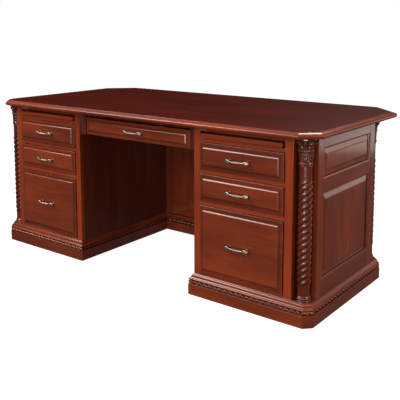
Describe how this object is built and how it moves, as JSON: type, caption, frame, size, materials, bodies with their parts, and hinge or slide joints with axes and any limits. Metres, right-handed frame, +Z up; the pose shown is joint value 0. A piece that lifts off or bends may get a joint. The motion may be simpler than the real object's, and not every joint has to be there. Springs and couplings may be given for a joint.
{
  "type": "executive desk",
  "caption": "Double-pedestal executive desk with a kneehole, clipped corners, rope-twist columns, drawers and pull-out writing boards.",
  "frame": {"origin": "on the floor, under the middle of the desk top", "axes": "+X to the sitter's right along the desk's length, +Y to the visitor's side, +Z up"},
  "size_m": [1.845, 0.93, 0.75],
  "materials": {
    "mahogany_stained_cherry": "glossy dark cherry stain",
    "drawer_wood": "satin clear maple",
    "secondary_wood": "plain unstained",
    "antique_pewter": "antiqued pewter plating",
    "zinc_steel": "zinc plated"
  },
  "bodies": {
    "desk": {"desk_top": "mahogany_stained_cherry", "top_cleats": "secondary_wood", "top_screws": "zinc_steel", "plinth_boards": "mahogany_stained_cherry", "rope_moulding": "mahogany_stained_cherry", "plinth_cap": "mahogany_stained_cherry", "pedestal_bottoms": "secondary_wood", "front_stiles": "mahogany_stained_cherry", "front_rails": "mahogany_stained_cherry", "left_side_frame": "mahogany_stained_cherry", "right_side_frame": "mahogany_stained_cherry", "left_side_panels": "mahogany_stained_cherry", "right_side_panels": "mahogany_stained_cherry", "left_kneehole_side": "mahogany_stained_cherry", "right_kneehole_side": "mahogany_stained_cherry", "back_frame": "mahogany_stained_cherry", "back_panels": "mahogany_stained_cherry", "corner_boards": "mahogany_stained_cherry", "front_left_column": "mahogany_stained_cherry", "front_right_column": "mahogany_stained_cherry", "back_left_column": "mahogany_stained_cherry", "back_right_column": "mahogany_stained_cherry", "runner_supports": "secondary_wood", "writing_board_guides": "secondary_wood", "cabinet_runners": "zinc_steel", "centre_drawer_frame": "secondary_wood"},
    "left_file_drawer": {"left_file_drawer_front": "mahogany_stained_cherry", "left_file_drawer_box": "drawer_wood", "left_file_drawer_pull": "antique_pewter", "left_file_drawer_runners": "zinc_steel", "left_hanging_file_rails": "zinc_steel"},
    "left_middle_drawer": {"left_middle_drawer_front": "mahogany_stained_cherry", "left_middle_drawer_box": "drawer_wood", "left_middle_drawer_pull": "antique_pewter", "left_middle_drawer_runners": "zinc_steel"},
    "left_top_drawer": {"left_top_drawer_front": "mahogany_stained_cherry", "left_top_drawer_box": "drawer_wood", "left_top_drawer_pull": "antique_pewter", "left_top_drawer_runners": "zinc_steel"},
    "left_file_runner_middles": {"left_file_runner_middles": "zinc_steel"},
    "left_writing_board": {"left_writing_board": "mahogany_stained_cherry"},
    "right_file_drawer": {"right_file_drawer_front": "mahogany_stained_cherry", "right_file_drawer_box": "drawer_wood", "right_file_drawer_pull": "antique_pewter", "right_file_drawer_runners": "zinc_steel", "right_hanging_file_rails": "zinc_steel"},
    "right_middle_drawer": {"right_middle_drawer_front": "mahogany_stained_cherry", "right_middle_drawer_box": "drawer_wood", "right_middle_drawer_pull": "antique_pewter", "right_middle_drawer_runners": "zinc_steel"},
    "right_top_drawer": {"right_top_drawer_front": "mahogany_stained_cherry", "right_top_drawer_box": "drawer_wood", "right_top_drawer_pull": "antique_pewter", "right_top_drawer_runners": "zinc_steel"},
    "right_file_runner_middles": {"right_file_runner_middles": "zinc_steel"},
    "right_writing_board": {"right_writing_board": "mahogany_stained_cherry"},
    "centre_drawer": {"centre_drawer_front": "mahogany_stained_cherry", "centre_drawer_box": "drawer_wood", "centre_drawer_pull": "antique_pewter", "centre_drawer_runners": "zinc_steel"}
  },
  "joints": [
    {"name": "left_file_drawer_slide", "type": "slide", "parent": "desk", "child": "left_file_drawer", "axis": [0, -1, 0], "range_m": [0, 0.5]},
    {"name": "left_middle_drawer_slide", "type": "slide", "parent": "desk", "child": "left_middle_drawer", "axis": [0, -1, 0], "range_m": [0, 0.38]},
    {"name": "left_top_drawer_slide", "type": "slide", "parent": "desk", "child": "left_top_drawer", "axis": [0, -1, 0], "range_m": [0, 0.38]},
    {"name": "left_file_runner_middles_slide", "type": "slide", "parent": "desk", "child": "left_file_runner_middles", "axis": [0, -1, 0], "range_m": [0, 0.25]},
    {"name": "left_writing_board_slide", "type": "slide", "parent": "desk", "child": "left_writing_board", "axis": [0, -1, 0], "range_m": [0, 0.3]},
    {"name": "right_file_drawer_slide", "type": "slide", "parent": "desk", "child": "right_file_drawer", "axis": [0, -1, 0], "range_m": [0, 0.5]},
    {"name": "right_middle_drawer_slide", "type": "slide", "parent": "desk", "child": "right_middle_drawer", "axis": [0, -1, 0], "range_m": [0, 0.38]},
    {"name": "right_top_drawer_slide", "type": "slide", "parent": "desk", "child": "right_top_drawer", "axis": [0, -1, 0], "range_m": [0, 0.38]},
    {"name": "right_file_runner_middles_slide", "type": "slide", "parent": "desk", "child": "right_file_runner_middles", "axis": [0, -1, 0], "range_m": [0, 0.25]},
    {"name": "right_writing_board_slide", "type": "slide", "parent": "desk", "child": "right_writing_board", "axis": [0, -1, 0], "range_m": [0, 0.3]},
    {"name": "centre_drawer_slide", "type": "slide", "parent": "desk", "child": "centre_drawer", "axis": [0, -1, 0], "range_m": [0, 0.31]}
  ],
  "couplings": [
    {"joint": "left_file_runner_middles_slide", "follows": "left_file_drawer_slide", "ratio": 0.5},
    {"joint": "right_file_runner_middles_slide", "follows": "right_file_drawer_slide", "ratio": 0.5}
  ]
}
